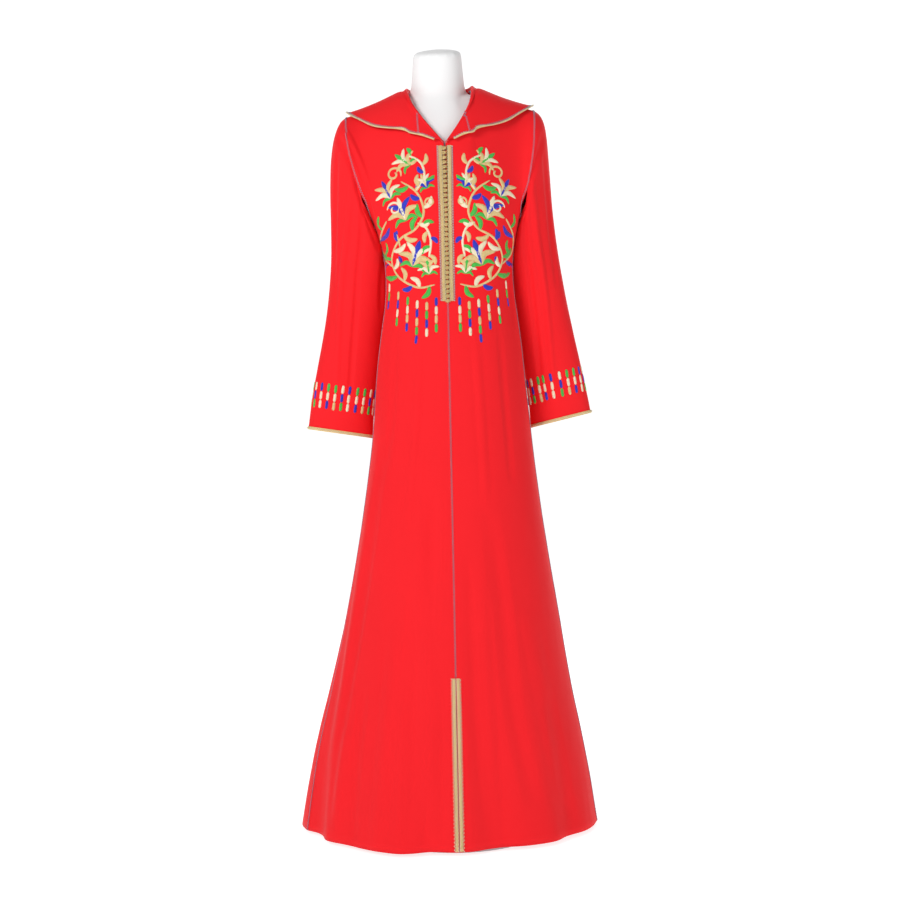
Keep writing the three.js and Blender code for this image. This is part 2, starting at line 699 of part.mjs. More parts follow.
function formRings() {
  const rings = FORM.map((row) => {
    const x = NECK_X * THREE.MathUtils.smoothstep(row.z, FORM[5].z, FORM[9].z);
    const sides = { ...row, left: row.left + x, right: row.right - x };
    return formRing({ x, y: row.centre }, sides, null, () => row.z);
  });
  for (const row of FORM_SHOULDER) {
    const u = lerp(NECK_SHARE, 1, row.share);
    const [left, right] = ["left", "right"].map((side) => columnTop(side, "front", u));
    const drop = 1.08 * (CLOTH + row.gap);
    const heightAt = (x) => lerp(left.z, right.z, (x - left.x) / (right.x - left.x)) - drop;
    const neck = along(FORM_NECK, heightAt(NECK_X));
    const centre = { x: NECK_X, y: SHOULDER_Y };
    const sides = { ...row, left: NECK_X - left.x, right: right.x - NECK_X };
    rings.push(formRing(centre, sides, { ...neck, left: neck.across, right: neck.across }, heightAt));
  }
  for (const row of FORM_NECK.slice(2)) {
    const neck = { ...row, left: row.across, right: row.across };
    const topShare = THREE.MathUtils.smoothstep(row.z, FORM_NECK[3].z, FORM_NECK[5].z);
    const heightAt = (x, y) => row.z + topShare * (NECK_TOP.slope * y + NECK_TOP.rightRise * (x - NECK_X));
    rings.push(formRing({ x: NECK_X, y: row.centre }, null, neck, heightAt));
  }
  return rings;
}

const torsoRings = formRings();
const torsoEnds = [
  new THREE.Vector3(0, 0, FORM[0].z),
  new THREE.Vector3(NECK_X, 0, FORM_NECK[FORM_NECK.length - 1].z + NECK_TOP.dome),
];
add("form_torso", loftGeometry(torsoRings, torsoEnds), WHITE);

const poleLength = FORM[0].z - FOOT.height - 2 * SEAM_GAP;
const pole = new THREE.CylinderGeometry(POLE_RADIUS, POLE_RADIUS, poleLength, 24);
pole.rotateX(Math.PI / 2).translate(0, 0, FOOT.height + SEAM_GAP + poleLength / 2);
add("form_pole", pole, STEEL);

const footProfile = [
  [0, 0],
  [FOOT.radius, 0],
  [FOOT.radius, FOOT.height - FOOT.chamfer],
  [FOOT.radius - FOOT.chamfer, FOOT.height],
  [0, FOOT.height],
];
const foot = new THREE.LatheGeometry(footProfile.map(([x, y]) => new THREE.Vector2(x, y)), 48);
add("form_base", foot.rotateX(Math.PI / 2), STEEL);

export default djellaba;
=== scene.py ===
# %% [markdown]
# # A djellaba on a dress form
# A djellaba is a long loose robe with a hood. This one is red crepe, closed down the chest by gold braid and
# knotted buttons, and worked with silk thread. The CAD model gives every panel's place and form. Here each
# panel becomes a thin sheet of cloth, and the sewing is laid on it.

# %% Tools and frame
import math

import bmesh
import bpy
import numpy as np
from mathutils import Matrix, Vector, noise
from mathutils.bvhtree import BVHTree


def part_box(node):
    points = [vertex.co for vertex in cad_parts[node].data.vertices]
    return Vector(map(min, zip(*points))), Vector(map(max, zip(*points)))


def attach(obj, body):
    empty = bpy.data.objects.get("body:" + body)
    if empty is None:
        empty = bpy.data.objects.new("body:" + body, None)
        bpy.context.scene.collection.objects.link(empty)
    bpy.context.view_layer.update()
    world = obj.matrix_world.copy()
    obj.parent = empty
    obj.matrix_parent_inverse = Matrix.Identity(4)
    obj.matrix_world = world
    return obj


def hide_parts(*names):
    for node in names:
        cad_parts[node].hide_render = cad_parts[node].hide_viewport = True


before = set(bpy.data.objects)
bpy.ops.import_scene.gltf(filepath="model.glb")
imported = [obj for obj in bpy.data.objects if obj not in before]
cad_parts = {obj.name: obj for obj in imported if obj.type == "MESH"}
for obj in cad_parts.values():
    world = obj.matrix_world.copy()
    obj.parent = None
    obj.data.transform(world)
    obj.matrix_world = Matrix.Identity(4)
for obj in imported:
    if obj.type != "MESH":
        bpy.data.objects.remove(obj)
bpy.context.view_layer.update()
MM = 0.001

# %% [markdown]
# ## Camera
# The photograph looks as if taken level with the robe's middle from about three metres, with the camera
# turned a little about its own axis. A pixel's place on an upright plane is needed often, so a helper works
# it out.

# %% Camera
IMAGE_SIZE = 900
EYE = Vector((-2, -3000, 747)) * MM
ROLL = math.radians(1.2)
FOCAL_PIXELS = 1538
CHEST_PLANE = -120  # the chest's y, in mm

camera_data = bpy.data.cameras.new("camera")
camera_data.sensor_width = 36
camera_data.lens = camera_data.sensor_width * FOCAL_PIXELS / IMAGE_SIZE
camera = bpy.data.objects.new("camera", camera_data)
camera.location = EYE
camera.rotation_euler = (math.pi / 2, ROLL, 0)
bpy.context.scene.collection.objects.link(camera)
bpy.context.scene.camera = camera


def seen(px, py, y=CHEST_PLANE):
    """The x and z, in millimetres, that the camera sees at a pixel, on the upright plane y"""
    across = px - IMAGE_SIZE / 2
    down = py - IMAGE_SIZE / 2
    scale = (y / 1000 - EYE.y) / FOCAL_PIXELS * 1000
    right = across * math.cos(ROLL) - down * math.sin(ROLL)
    below = across * math.sin(ROLL) + down * math.cos(ROLL)
    return EYE.x * 1000 + right * scale, EYE.z * 1000 - below * scale


# %% [markdown]
# ## Finishes
# Crepe is woven from twisted yarn, so its face is matt and slightly pebbled. Silk and braid are bundles of
# thread, which run along the piece's own UV map. One node group makes the pebbled grain and one the threads,
# and each material places them with its own values. The thread group also paints shade into the grooves
# between the twists, with a darker copy of each silk's colour.

# %% Node helpers
def new_group(name, inputs, outputs):
    """A shader node group with number inputs (name, value) and outputs (name, socket type)"""
    group = bpy.data.node_groups.new(name, "ShaderNodeTree")
    for label, kind, value in inputs:
        socket = group.interface.new_socket(name=label, in_out="INPUT", socket_type=kind)
        socket.default_value = value
    for label, kind in outputs:
        group.interface.new_socket(name=label, in_out="OUTPUT", socket_type=kind)
    return group, group.nodes.new("NodeGroupInput"), group.nodes.new("NodeGroupOutput")


def node(tree, kind, links=None, **values):
    """A node with its settings, and with each input number or name linked or set"""
    made = tree.nodes.new(kind)
    for key, value in values.items():
        setattr(made, key, value)
    for key, value in (links or {}).items():
        if isinstance(value, bpy.types.NodeSocket):
            tree.links.new(value, made.inputs[key])
        else:
            made.inputs[key].default_value = value
    return made


# %% Crepe grain group
FLOAT, COLOR, VECTOR = "NodeSocketFloat", "NodeSocketColor", "NodeSocketVector"
crepe_grain, grain_in, grain_out = new_group(
    "crepe_grain",
    [("Base", COLOR, (1, 0, 0, 1)), ("Shade", COLOR, (0.5, 0, 0, 1)), ("Size", FLOAT, 1500.0)],
    [("Color", COLOR), ("Roughness", FLOAT), ("Normal", VECTOR)],
)
place = node(crepe_grain, "ShaderNodeTexCoord").outputs["Object"]
size = grain_in.outputs["Size"]
pebble = node(crepe_grain, "ShaderNodeTexNoise", {"Vector": place, "Scale": size, "Detail": 3.0})
patches = node(crepe_grain, "ShaderNodeTexNoise", {"Vector": place, "Scale": 9.0, "Detail": 4.0})
faint = node(crepe_grain, "ShaderNodeMath", {0: pebble.outputs["Fac"], 1: 0.35}, operation="MULTIPLY")
blend = node(
    crepe_grain,
    "ShaderNodeMath",
    {0: patches.outputs["Fac"], 1: faint.outputs[0]},
    operation="MULTIPLY",
)
tint = node(
    crepe_grain,
    "ShaderNodeMix",
    {0: blend.outputs[0], 6: grain_in.outputs["Base"], 7: grain_in.outputs["Shade"]},
    data_type="RGBA",
)
rough = node(
    crepe_grain,
    "ShaderNodeMapRange",
    {"Value": pebble.outputs["Fac"], "To Min": 0.72, "To Max": 0.9},
)
bump = node(
    crepe_grain,
    "ShaderNodeBump",
    {"Height": pebble.outputs["Fac"], "Strength": 0.35, "Distance": 0.0004},
)
crepe_grain.links.new(tint.outputs[2], grain_out.inputs["Color"])
crepe_grain.links.new(rough.outputs[0], grain_out.inputs["Roughness"])
crepe_grain.links.new(bump.outputs[0], grain_out.inputs["Normal"])

# %% Thread group
silk_thread, thread_in, thread_out = new_group(
    "silk_thread",
    [("Base", COLOR, (1, 1, 1, 1)), ("Shade", COLOR, (0.5, 0.5, 0.5, 1)), ("Pitch", FLOAT, 0.0005)],
    [("Color", COLOR), ("Roughness", FLOAT), ("Normal", VECTOR)],
)
along_piece = node(silk_thread, "ShaderNodeTexCoord").outputs["UV"]
parts = node(silk_thread, "ShaderNodeSeparateXYZ", {0: along_piece})
turns = node(
    silk_thread,
    "ShaderNodeMath",
    {0: parts.outputs[0], 1: thread_in.outputs["Pitch"]},
    operation="DIVIDE",
)
angle = node(silk_thread, "ShaderNodeMath", {0: turns.outputs[0], 1: math.tau}, operation="MULTIPLY")
wave = node(silk_thread, "ShaderNodeMath", {0: angle.outputs[0]}, operation="SINE")
ridge = node(silk_thread, "ShaderNodeMapRange", {"Value": wave.outputs[0], "From Min": -1.0})
uneven = node(silk_thread, "ShaderNodeTexNoise", {"Scale": 260.0, "Detail": 2.0})
silk_thread.links.new(node(silk_thread, "ShaderNodeTexCoord").outputs["Object"], uneven.inputs["Vector"])
# Painted shade: the colour goes towards the Shade colour in the grooves between the thread's twists, with
# random unevenness mixed in.
dark = node(silk_thread, "ShaderNodeMath", {0: ridge.outputs[0], 1: -0.45}, operation="MULTIPLY")
depth = node(silk_thread, "ShaderNodeMath", {0: dark.outputs[0], 1: 0.3}, operation="ADD")
mixed = node(silk_thread, "ShaderNodeMath", {0: depth.outputs[0], 1: uneven.outputs["Fac"]}, operation="ADD")
groove_shade_and_tone = node(silk_thread, "ShaderNodeMath", {0: mixed.outputs[0], 1: 0.6}, operation="MULTIPLY")
thread_tint = node(
    silk_thread,
    "ShaderNodeMix",
    {0: groove_shade_and_tone.outputs[0], 6: thread_in.outputs["Base"], 7: thread_in.outputs["Shade"]},
    data_type="RGBA",
)
thread_rough = node(
    silk_thread,
    "ShaderNodeMapRange",
    {"Value": ridge.outputs[0], "To Min": 0.55, "To Max": 0.35},
)
thread_bump = node(
    silk_thread,
    "ShaderNodeBump",
    {"Height": ridge.outputs[0], "Strength": 0.6, "Distance": 0.0003},
)
silk_thread.links.new(thread_tint.outputs[2], thread_out.inputs["Color"])
silk_thread.links.new(thread_rough.outputs[0], thread_out.inputs["Roughness"])
silk_thread.links.new(thread_bump.outputs[0], thread_out.inputs["Normal"])


# %% Materials
def finish(name, group, base, shade, grain, sheen=0.0, metal=0.0):
    """A material whose colour, roughness and bump come from a grain or thread group"""
    material = bpy.data.materials.new(name)
    material.use_nodes = True
    tree = material.node_tree
    shader = tree.nodes["Principled BSDF"]
    detail = tree.nodes.new("ShaderNodeGroup")
    detail.node_tree = group
    detail.inputs["Base"].default_value = (*base, 1)
    detail.inputs["Shade"].default_value = (*shade, 1)
    detail.inputs[2].default_value = grain
    tree.links.new(detail.outputs["Color"], shader.inputs["Base Color"])
    tree.links.new(detail.outputs["Roughness"], shader.inputs["Roughness"])
    tree.links.new(detail.outputs["Normal"], shader.inputs["Normal"])
    shader.inputs["Sheen Weight"].default_value = sheen
    shader.inputs["Sheen Roughness"].default_value = 0.4
    shader.inputs["Specular IOR Level"].default_value = 0.25
    shader.inputs["Metallic"].default_value = metal
    return material


# A finish's second colour: for crepe, the form and steel a darker tone in random patches; for each silk,
# painted shade in the grooves between the thread's twists. gold_knot's painted shade is darker than
# gold_silk's.
red_crepe = finish("red_crepe", crepe_grain, (0.84, 0.008, 0.014), (0.55, 0.002, 0.004), 1500, sheen=0.05)
gold_silk = finish("gold_silk", silk_thread, (0.86, 0.67, 0.32), (0.46, 0.29, 0.09), 0.0006, sheen=0.2)
gold_knot = finish("gold_knot", silk_thread, (0.84, 0.64, 0.28), (0.30, 0.18, 0.05), 0.0008, sheen=0.2)
gold_ground = finish("gold_ground", silk_thread, (0.40, 0.26, 0.09), (0.20, 0.10, 0.03), 0.0008)
cream_silk = finish("cream_silk", silk_thread, (0.94, 0.86, 0.64), (0.66, 0.54, 0.32), 0.0006, sheen=0.2)
green_silk = finish("green_silk", silk_thread, (0.09, 0.60, 0.09), (0.02, 0.26, 0.03), 0.0006, sheen=0.2)
blue_silk = finish("blue_silk", silk_thread, (0.03, 0.05, 0.62), (0.008, 0.012, 0.26), 0.0006, sheen=0.2)
lilac_silk = finish("lilac_silk", silk_thread, (0.52, 0.42, 0.54), (0.26, 0.17, 0.27), 0.0006, sheen=0.1)
form_white = finish("form_white", crepe_grain, (0.86, 0.86, 0.86), (0.76, 0.76, 0.76), 900)
brushed_steel = finish("brushed_steel", crepe_grain, (0.62, 0.63, 0.64), (0.45, 0.46, 0.47), 600, metal=1.0)
SILK = {"gold": gold_silk, "cream": cream_silk, "green": green_silk, "blue": blue_silk}


# %% [markdown]
# ## Pieces and how they ride
# The robe has no joint, so every piece rides on the root body.

# %% Piece helpers
def keep(name, mesh, material, stands_for=()):
    """Puts a finished mesh in the scene as a piece of the robe"""
    obj = bpy.data.objects.new(name, mesh)
    bpy.context.scene.collection.objects.link(obj)
    mesh.materials.clear()
    mesh.materials.append(material)
    mesh.polygons.foreach_set("use_smooth", [True] * len(mesh.polygons))
    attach(obj, "root")
    if stands_for:
        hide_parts(*stands_for)
    return obj


def add_smoothing(obj, levels):
    """Smooths a coarse mesh by subdivision and keeps its corners"""
    smooth = obj.modifiers.new("smooth", "SUBSURF")
    smooth.levels = smooth.render_levels = levels
    smooth.boundary_smooth = "PRESERVE_CORNERS"


def add_wall(obj, thickness):
    """Gives a sheet a thin wall on its inner side"""
    wall = obj.modifiers.new("wall", "SOLIDIFY")
    wall.thickness = thickness
    wall.offset = -1
    return wall


def baked(data, levels=0):
    """A mesh or curve as a plain mesh, smoothed by subdivision where levels are given"""
    carrier = bpy.data.objects.new(data.name, data)
    bpy.context.scene.collection.objects.link(carrier)
    if levels:
        add_smoothing(carrier, levels)
    graph = bpy.context.evaluated_depsgraph_get()
    graph.update()
    mesh = bpy.data.meshes.new_from_object(carrier.evaluated_get(graph))
    bpy.data.objects.remove(carrier)
    return mesh


# %% [markdown]
# ## From wall to cloth
# Each CAD panel is a closed wall 1.4 mm thick. A sheet of cloth is easier to shape as one layer, so the
# wall's rim is found by the length of its short edges, which is the wall's thickness. Without its rim the
# wall comes apart into two sides. The larger one is joined back into four-sided faces and smoothed by
# subdivision.

# %% Outer layer of a wall
WALL, WALL_SLACK = 1.4 * MM, 0.003 * MM
WELD = 0.01 * MM  # points closer than this are one


def spans_wall(edge, wall):
    """True for an edge exactly as long as the wall is thick"""
    return abs(edge.calc_length() - wall) < WALL_SLACK


def diagonals(bm):
    """The edges that cut the four-sided cells in two. Round every triangle a cell's edges follow in one
    order, so each triangle tells its neighbours which of their edges is which. A diagonal never lies on the
    border."""
    first = next(iter(bm.faces))
    kind = {}
    waiting = [(first, 0)]
    done = {first}
    for face, turn in waiting:
        for k, loop in enumerate(face.loops):
            sort = (k + turn) % 3
            kind[loop.edge] = sort
            for other in loop.edge.link_faces:
                if other not in done:
                    done.add(other)
                    at = [step.edge for step in other.loops].index(loop.edge)
                    waiting.append((other, (sort - at) % 3))
    inside = [sort for sort in range(3) if not any(edge.is_boundary and kind[edge] == sort for edge in kind)]
    longest = max(inside, key=lambda sort: sum(edge.calc_length() for edge in kind if kind[edge] == sort))
    return [edge for edge in kind if kind[edge] == longest]


def islands(faces):
    """The groups of connected faces"""
    waiting = set(faces)
    found = []
    while waiting:
        group = [waiting.pop()]
        for face in group:
            for edge in face.edges:
                for other in edge.link_faces:
                    if other in waiting:
                        waiting.discard(other)
                        group.append(other)
        found.append(group)
    return found


def outer_layer(name, wall=WALL):
    """The larger side of a CAD wall, in four-sided faces"""
    bm = bmesh.new()
    bm.from_mesh(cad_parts[name].data)
    bmesh.ops.remove_doubles(bm, verts=bm.verts, dist=WELD)
    rim = {face for edge in bm.edges if spans_wall(edge, wall) for face in edge.link_faces}
    # A side may have an edge of that length too, so the side that stayed whole tells which faces are the
    # other side.
    whole = max(islands(set(bm.faces) - rim), key=len)
    whole_verts = {vert for face in whole for vert in face.verts}
    other = [face for face in bm.faces if not whole_verts.intersection(face.verts)]
    outer = set(max(whole, other, key=lambda side: sum(face.calc_area() for face in side)))
    bmesh.ops.delete(bm, geom=[face for face in bm.faces if face not in outer], context="FACES")
    loose = [vert for vert in bm.verts if not vert.link_faces]
    bmesh.ops.delete(bm, geom=loose, context="VERTS")
    bmesh.ops.dissolve_edges(bm, edges=diagonals(bm), use_verts=False)
    odd = sum(len(face.verts) != 4 for face in bm.faces)
    print(name, "sides", len(whole), len(other), "faces", len(bm.faces), "not quads", odd)
    return bm


# %% Edge chains
def edge_chains(bm):
    """The runs of points along a sheet's edges, split at its corners"""
    border = {edge for edge in bm.edges if edge.is_boundary}
    corners = [vert for vert in bm.verts if vert.is_boundary and len(vert.link_edges) == 2]
    chains = []
    while border:
        starts = [vert for vert in corners if any(edge in border for edge in vert.link_edges)]
        first = starts[0] if starts else min(border, key=lambda edge: edge.index).verts[0]
        chain = [first]
        while True:
            onward = [edge for edge in chain[-1].link_edges if edge in border]
            if not onward or (len(chain) > 1 and chain[-1] in corners):
                break
            border.discard(onward[0])
            chain.append(onward[0].other_vert(chain[-1]))
        chains.append([vert.co.copy() for vert in chain])
    return chains


# %% [markdown]
# ## Creases
# The large flutes are in the CAD already. What the eye reads as cloth are the shallow troughs and soft ridges
# between them. Each is a stroke: a short path on the robe, how deep and how wide. A point near the path moves
# along its normal, most at the middle of the stroke and not at all past its width.

# %% Crease strokes
# Each row is side, y, depth, width and path. Side -1 is the front and 1 the back. The path is in pixels of
# the photograph's frame, seen on the upright plane y. The other measures are in mm.
CREASES = [
    (-1, -130, 4.5, 22, [(374, 481), (358, 572), (347, 637), (331, 714), (314, 788)]),
    (-1, -150, -5.2, 25, [(417, 600), (413, 690), (412, 770), (408, 850)]),
    (-1, -150, 4.5, 22, [(396, 640), (386, 740), (376, 850)]),
    (-1, -140, -3.8, 22, [(432, 500), (431, 560), (428, 640)]),
    (-1, -150, 3.8, 22, [(434, 680), (432, 770), (434, 850)]),
    (-1, -110, -4.5, 23, [(490, 520), (503, 610), (514, 714), (533, 800)]),
    (-1, -110, 4.5, 22, [(530, 620), (548, 720), (566, 800)]),
    (-1, -110, -3.8, 18, [(548, 700), (560, 760), (574, 830)]),
    (-1, -110, 3.0, 22, [(478, 560), (484, 680), (492, 800)]),
    (-1, -150, 4.5, 18, [(344, 740), (338, 790), (334, 840)]),
    (-1, -150, -3.8, 14, [(362, 700), (354, 770), (350, 845)]),
    (-1, -110, -4.5, 7, [(381, 232), (379, 262), (378, 305)]),
    (-1, -110, 3.0, 7, [(388, 240), (386, 275), (385, 315)]),
    (-1, -110, -3.0, 8, [(509, 240), (512, 275), (514, 320)]),
    (-1, -110, -2.2, 10, [(395, 330), (392, 400), (386, 470)]),
    (-1, -110, 2.2, 12, [(420, 340), (415, 430), (408, 520)]),
    (-1, -110, -2.2, 10, [(500, 330), (506, 410), (512, 480)]),
    (-1, -110, 2.2, 12, [(476, 340), (482, 430), (486, 500)]),
    (-1, -60, 3.8, 9, [(352, 180), (344, 240), (338, 300), (334, 380)]),
    (-1, -60, -3.8, 8, [(362, 200), (357, 260), (352, 330), (347, 400)]),
    (-1, -60, -3.0, 7, [(336, 150), (333, 210), (331, 280)]),
    (-1, -60, 3.8, 9, [(532, 180), (540, 240), (548, 300), (556, 380)]),
    (-1, -60, -3.8, 8, [(524, 200), (530, 260), (538, 330), (545, 400)]),
    (-1, -60, -3.0, 7, [(545, 150), (551, 210), (559, 280)]),
    (-1, -130, -4.5, 14, [(384, 440), (372, 520), (359, 610), (346, 690), (334, 760), (326, 820)]),
    (-1, -120, -3.5, 26, [(470, 560), (474, 660), (480, 760), (486, 850)]),
    (-1, -60, -6.5, 9, [(338, 135), (352, 170), (362, 205), (376, 245)]),
    (-1, -60, 4.5, 8, [(345, 128), (360, 160), (371, 192), (380, 228)]),
    (-1, -60, -4.5, 9, [(545, 130), (537, 160), (528, 190), (522, 230)]),
    (1, 190, -6.5, 20, [(420, 420), (410, 560), (398, 700), (392, 850)]),
    (1, 190, 5.2, 20, [(440, 380), (438, 560), (436, 720), (430, 850)]),
    (1, 190, -5.9, 20, [(462, 440), (466, 600), (474, 740), (480, 850)]),
    (1, 190, 5.2, 18, [(484, 420), (496, 580), (508, 740), (518, 850)]),
    (1, 190, -5.2, 18, [(506, 470), (522, 620), (538, 760), (550, 850)]),
    (1, 190, 4.5, 17, [(400, 520), (380, 660), (362, 780), (352, 850)]),
    (1, 190, -4.5, 17, [(384, 560), (366, 680), (344, 800)]),
    (1, 120, -3.8, 10, [(386, 240), (384, 300), (388, 380)]),
    (1, 120, -3.8, 10, [(510, 240), (512, 300), (506, 380)]),
    (1, 120, 3.0, 14, [(448, 250), (447, 330), (446, 400)]),
    (1, 70, 3.8, 9, [(350, 190), (342, 260), (334, 350)]),
    (1, 70, -3.8, 8, [(360, 210), (354, 290), (347, 390)]),
    (1, 70, 3.8, 9, [(534, 190), (543, 260), (553, 350)]),
    (1, 70, -3.8, 8, [(525, 210), (534, 290), (544, 390)]),
]


def on_curve(a, b, c, d, t):
    """A point between b and c, at the share t, on the smooth curve through four points"""
    return 0.5 * (2 * b + (c - a) * t + (2 * a - 5 * b + 4 * c - d) * t**2 + (3 * b - a - 3 * c + d) * t**3)


def rounded_path(points, steps=8):
    """A path through the points, with soft corners"""
    knots = [points[0], *points, points[-1]]
    path = []
    for k in range(len(points) - 1):
        a, b, c, d = (np.array(knots[k + i], float) for i in range(4))
        for step in range(steps):
            path.append(on_curve(a, b, c, d, step / steps))
    path.append(np.array(points[-1], float))
    return np.array(path)


def stroke_depth(places, path, width):
    """How strongly a stroke works at each place: 1 on the path, 0 past its width, soft at both ends"""
    starts, ends = path[:-1], path[1:]
    best = np.full(len(places), 1e9)
    share = np.zeros(len(places))
    for k, (start, end) in enumerate(zip(starts, ends)):
        line = end - start
        t = np.clip(((places - start) @ line) / (line @ line), 0, 1)
        distance = np.linalg.norm(places - (start + t[:, None] * line), axis=1)
        nearer = distance < best
        best[nearer] = distance[nearer]
        share[nearer] = (k + t[nearer]) / len(starts)
    across = np.clip(1 - (best / width) ** 2, 0, 1) ** 2
    return across * np.sin(np.pi * np.clip(share * 0.9 + 0.05, 0, 1)) ** 0.6


# %% Crease and drape a mesh
# The uneven waves: height, then length across and length down, all in mm
LONG_WAVE = (1.4, 70, 210)
SHORT_WAVE = (0.35, 22, 60)
STILL_FROM, STILL_FADE = 1400, 130  # above this height the robe lies on the shoulders and hardly waves
FACING_GAIN = 2.2  # strokes work fully on cloth that faces their side, and fade where it turns away
# Each sleeve hangs against the robe's side below the armhole: panel, place, move and reach, all in mm.
NUDGES = [
    ("sleeve_left", (-128, 20, 1155), (5, 0, 0), 90),
    ("sleeve_right", (130, 20, 1155), (-5, 0, 0), 90),
]


def crease(name, mesh):
    """Moves each point of a panel's mesh along its normal by the strokes and by the uneven waves"""
    count = len(mesh.vertices)
    place = np.empty(count * 3)
    normal = np.empty(count * 3)
    mesh.vertices.foreach_get("co", place)
    mesh.vertex_normals.foreach_get("vector", normal)
    place = place.reshape(-1, 3) * 1000
    normal = normal.reshape(-1, 3)
    move = np.zeros(count)
    for side, y, depth, width, points in CREASES:
        path = rounded_path([seen(px, py, y) for px, py in points])
        facing = np.clip(normal[:, 1] * side * FACING_GAIN, 0, 1)
        move += depth * facing * stroke_depth(place[:, [0, 2]], path, width)
    for k, (x, y, z) in enumerate(place):
        free = min(max((STILL_FROM - z) / STILL_FADE, 0.1), 1)
        for high, wide, long in (LONG_WAVE, SHORT_WAVE):
            move[k] += free * high * noise.noise(Vector((x / wide, y / wide, z / long)))
    place += normal * move[:, None]
    for panel, middle, shift, reach in NUDGES:
        if panel == name:
            far = np.linalg.norm(place - np.array(middle), axis=1)
            place += np.clip(1 - (far / reach) ** 2, 0, 1)[:, None] ** 2 * np.array(shift)
    mesh.vertices.foreach_set("co", (place * MM).ravel())
    mesh.update()


# %% [markdown]
# ## Cloth panels
# Two fronts, the back, two sleeves and the hood. Each keeps the tree of its faces, so that thread and braid
# can be laid on it, and the runs of points along its edges, where the seams are.

# %% Cloth panels
CLOTH_THICKNESS = 1.2 * MM
surface = {}
chains = {}
panels = {}


def cloth_panel(name, detail):
    """A CAD panel as a creased sheet with a thin wall"""
    bm = outer_layer(name)
    chains[name] = edge_chains(bm)
    mesh = bpy.data.meshes.new(name + "_layer")
    bm.to_mesh(mesh)
    bm.free()
    sheet = baked(mesh, detail)
    crease(name, sheet)
    bm = bmesh.new()
    bm.from_mesh(sheet)
    surface[name] = BVHTree.FromBMesh(bm)
    area = sum(face.calc_area() for face in bm.faces)
    bm.free()
    panels[name] = keep("cloth_" + name, sheet, red_crepe, [name])
    add_wall(panels[name], CLOTH_THICKNESS).use_even_offset = False
    print(name, "faces", len(sheet.polygons), "area", round(area, 4))


for name in ("front_left", "front_right", "back", "sleeve_left", "sleeve_right", "hood"):
    cloth_panel(name, detail=2 if name == "back" else 3)

# %% [markdown]
# ## Laying sewing on the cloth
# Braid, stitches and silk all follow a path over the cloth. A path is first spaced evenly, then each of its
# points is moved to the nearest place on the cloth, where the cloth's normal says which way is up.

# %% Paths
FINE_STEPS = 12


def run_length(run):
    return sum((b - a).length for a, b in zip(run, run[1:]))


def smooth_run(points, pitch):
    """Points a pitch apart on a smooth path through the given ones"""
    points = [Vector(point) for point in points]
    points = [2 * points[0] - points[1], *points, 2 * points[-1] - points[-2]]
    fine = []
    for a, b, c, d in zip(points, points[1:], points[2:], points[3:]):
        for step in range(FINE_STEPS):
            fine.append(on_curve(a, b, c, d, step / FINE_STEPS))
    fine.append(points[-2])
    lengths = np.cumsum([0] + [(b - a).length for a, b in zip(fine, fine[1:])])
    count = max(2, round(lengths[-1] / pitch))
    places = np.linspace(0, lengths[-1], count + 1)
    table = np.array([tuple(point) for point in fine])
    return [Vector(np.array([np.interp(s, lengths, table[:, axis]) for axis in range(3)])) for s in places]


def touch(names, point):
    """The nearest place on the named cloths and the cloth's normal there"""
    found = [surface[name].find_nearest(point)[:2] for name in names]
    return min(found, key=lambda hit: (hit[0] - point).length)


def frames(path, names):
    """For each point of a path on the cloth: place, direction across, normal"""
    made = []
    for k, point in enumerate(path):
        ahead = (path[min(k + 1, len(path) - 1)] - path[max(k - 1, 0)]).normalized()
        place, normal = touch(names, point)
        across = normal.cross(ahead).normalized()
        made.append((place, across, normal))
    return made


def steep_runs(name):
    """A panel's edges that go down by more than half a metre"""
    return [run for run in chains[name] if abs(run[0].z - run[-1].z) > 0.5]


def middle_of(run):
    return sum(run, Vector()) / len(run)


def downward(run):
    return run if run[0].z > run[-1].z else run[::-1]


centre_edge = {}
side_edge = {}
for name in ("front_left", "front_right"):
    runs = sorted(steep_runs(name), key=lambda run: abs(middle_of(run).x))
    centre_edge[name] = downward(runs[0])
    side_edge[name] = downward(runs[-1])
cuff_edge = {}
for name in ("sleeve_left", "sleeve_right"):
    cuff_edge[name] = min(chains[name], key=lambda run: middle_of(run).z)
hood_rim = max(chains["hood"], key=run_length)


# %% Thread and cord maker
def cords(name, runs, radius, material, sides=1, closed=False, stands_for=()):
    """A piece of round cords, one along each run of points"""
    curve = bpy.data.curves.new(name + "_run", "CURVE")
    curve.dimensions = "3D"
    curve.bevel_depth = radius
    curve.bevel_resolution = sides
    curve.use_fill_caps = True
    for run in runs:
        spline = curve.splines.new("POLY")
        spline.points.add(len(run) - 1)
        for point, place in zip(spline.points, run):
            point.co = (*place, 1)
        spline.use_cyclic_u = closed
    mesh = baked(curve)
    bm = bmesh.new()
    bm.from_mesh(mesh)
    bmesh.ops.remove_doubles(bm, verts=bm.verts, dist=WELD)
    bm.to_mesh(mesh)
    print(name, "cords", len(runs), "faces", len(bm.faces))
    bm.free()
    keep(name, mesh, material, stands_for)


# %% Silk maker
SILK_WALL = 0.5 * MM
SILK_BASE, SILK_DOME = 0.35 * MM, 0.7 * MM  # how high a strip stands, and how much higher at its middle
SILK_WELD = 0.005 * MM
ACROSS = 3  # cells across a strip


# A strip's width at each share of its length, as a share of its full width
def even(share):
    return 1.0


def rounded_ends(share):
    return math.sqrt(max(0.2, 1 - abs(2 * share - 1) ** 10))


def leaf_shape(share):
    return max(0.12, math.sin(math.pi * min(1, share * 0.92 + 0.05)) ** 0.75)


